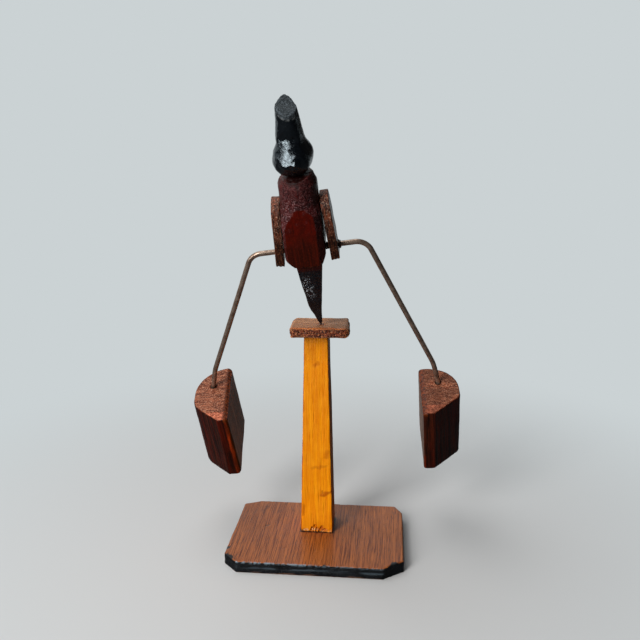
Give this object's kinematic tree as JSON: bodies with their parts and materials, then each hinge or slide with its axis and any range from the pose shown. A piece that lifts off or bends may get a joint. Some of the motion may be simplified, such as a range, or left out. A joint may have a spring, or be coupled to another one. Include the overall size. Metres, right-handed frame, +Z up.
{
  "type": "balancing bird toy",
  "caption": "Carved wooden bird standing on its tail pin on top of a square post, kept upright by wooden weights hung from a bent steel rod; it turns and rocks on the point.",
  "frame": {"origin": "the middle of the base board's underside", "axes": "+Z up; -Y is the front that the picture shows; +X to the right as seen from the front"},
  "size_m": [0.1724, 0.1136, 0.2759],
  "materials": {
    "base_stain": "stained reddish brown, edges nearly black",
    "post_varnish": "yellow-orange varnish",
    "perch_wood": "thin brown stain, sawn edges",
    "screw_steel": "bright steel",
    "pin_steel": "dull steel",
    "black_lacquer": "glossy black paint",
    "red_varnish": "glossy red-brown varnish",
    "dowel_wood": "bare wood",
    "wing_wood": "brown stain, rough edges",
    "rod_steel": "brown tarnished steel wire",
    "weight_varnish": "dark red-brown varnish",
    "hard_glue": "dark hardened glue"
  },
  "bodies": {
    "stand": {"base_board": "base_stain", "post": "post_varnish", "perch": "perch_wood", "post_screw": "screw_steel"},
    "turning_nail": {"bearing_nail": "pin_steel"},
    "ball": {"pin_ball": "pin_steel"},
    "bird": {"tail_pin": "pin_steel", "tail": "black_lacquer", "torso": "red_varnish", "neck_dowel": "dowel_wood", "tail_dowel": "dowel_wood", "head": "black_lacquer", "left_wing": "wing_wood", "right_wing": "wing_wood", "balance_rod": "rod_steel", "left_weight": "weight_varnish", "right_weight": "weight_varnish", "outer_glue_bead": "hard_glue", "inner_glue_bead": "hard_glue"}
  },
  "joints": [
    {"name": "spin", "type": "hinge", "parent": "stand", "child": "turning_nail", "pos_m": [0.0018, 0.009, 0.1447], "axis": [0, 0, 1], "continuous": true},
    {"name": "rock_sideways", "type": "hinge", "parent": "turning_nail", "child": "ball", "pos_m": [0.0018, 0.009, 0.1447], "axis": [-0.0523, 0.9986, 0], "range_deg": [-14, 14]},
    {"name": "rock_fore_aft", "type": "hinge", "parent": "ball", "child": "bird", "pos_m": [0.0018, 0.009, 0.1447], "axis": [0.9986, 0.0523, 0], "range_deg": [-14, 14]}
  ]
}
